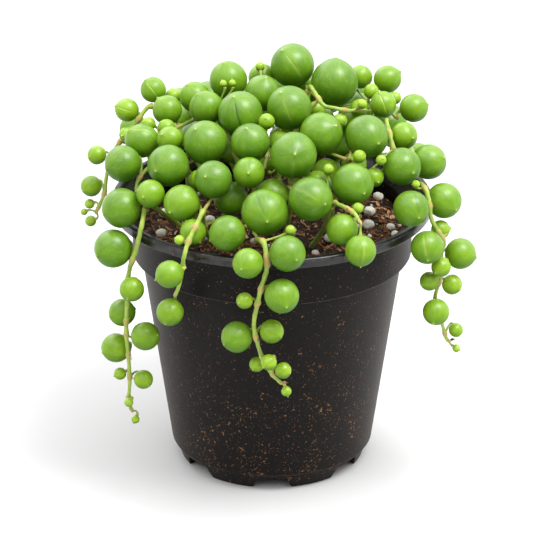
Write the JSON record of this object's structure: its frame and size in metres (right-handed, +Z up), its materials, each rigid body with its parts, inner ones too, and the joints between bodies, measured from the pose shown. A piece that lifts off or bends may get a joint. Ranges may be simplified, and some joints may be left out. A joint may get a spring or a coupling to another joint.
{
  "type": "potted string of pearls plant",
  "caption": "Trailing succulent with round bead leaves on thin stems, growing over the rim of a small round tapered plant pot.",
  "frame": {"origin": "on the pot's axis, in the plane of the surface it stands on", "axes": "+Z up, -Y towards the viewer, +X to the viewer's right"},
  "size_m": [0.0988, 0.0988, 0.1039],
  "materials": {
    "pot_plastic": "satin black moulded plastic with fine tan flecks",
    "potting_mix": "dark brown fibrous soil and chips",
    "perlite_grain": "off-white porous grains",
    "plant_tissue": "waxy green leaves on paler stems"
  },
  "bodies": {
    "root": {"perlite_01": "perlite_grain", "perlite_02": "perlite_grain", "perlite_03": "perlite_grain", "perlite_04": "perlite_grain", "perlite_05": "perlite_grain", "perlite_06": "perlite_grain", "perlite_07": "perlite_grain", "perlite_08": "perlite_grain", "perlite_09": "perlite_grain", "perlite_10": "perlite_grain", "perlite_11": "perlite_grain", "perlite_12": "perlite_grain", "perlite_13": "perlite_grain", "perlite_14": "perlite_grain", "perlite_15": "perlite_grain", "pot": "pot_plastic", "soil": "potting_mix", "string_back_1": "plant_tissue", "string_back_2": "plant_tissue", "string_back_3": "plant_tissue", "string_back_4": "plant_tissue", "string_back_5": "plant_tissue", "string_back_6": "plant_tissue", "string_back_7": "plant_tissue", "string_crown_front": "plant_tissue", "string_crown_left": "plant_tissue", "string_crown_left_low": "plant_tissue", "string_crown_middle": "plant_tissue", "string_crown_right": "plant_tissue", "string_crown_right_back": "plant_tissue", "string_far_left": "plant_tissue", "string_front_centre": "plant_tissue", "string_front_left": "plant_tissue", "string_front_right": "plant_tissue", "string_inner_1": "plant_tissue", "string_inner_2": "plant_tissue", "string_inner_3": "plant_tissue", "string_inner_4": "plant_tissue", "string_left_tail": "plant_tissue", "string_right_tail": "plant_tissue", "string_top": "plant_tissue"}
  },
  "joints": []
}
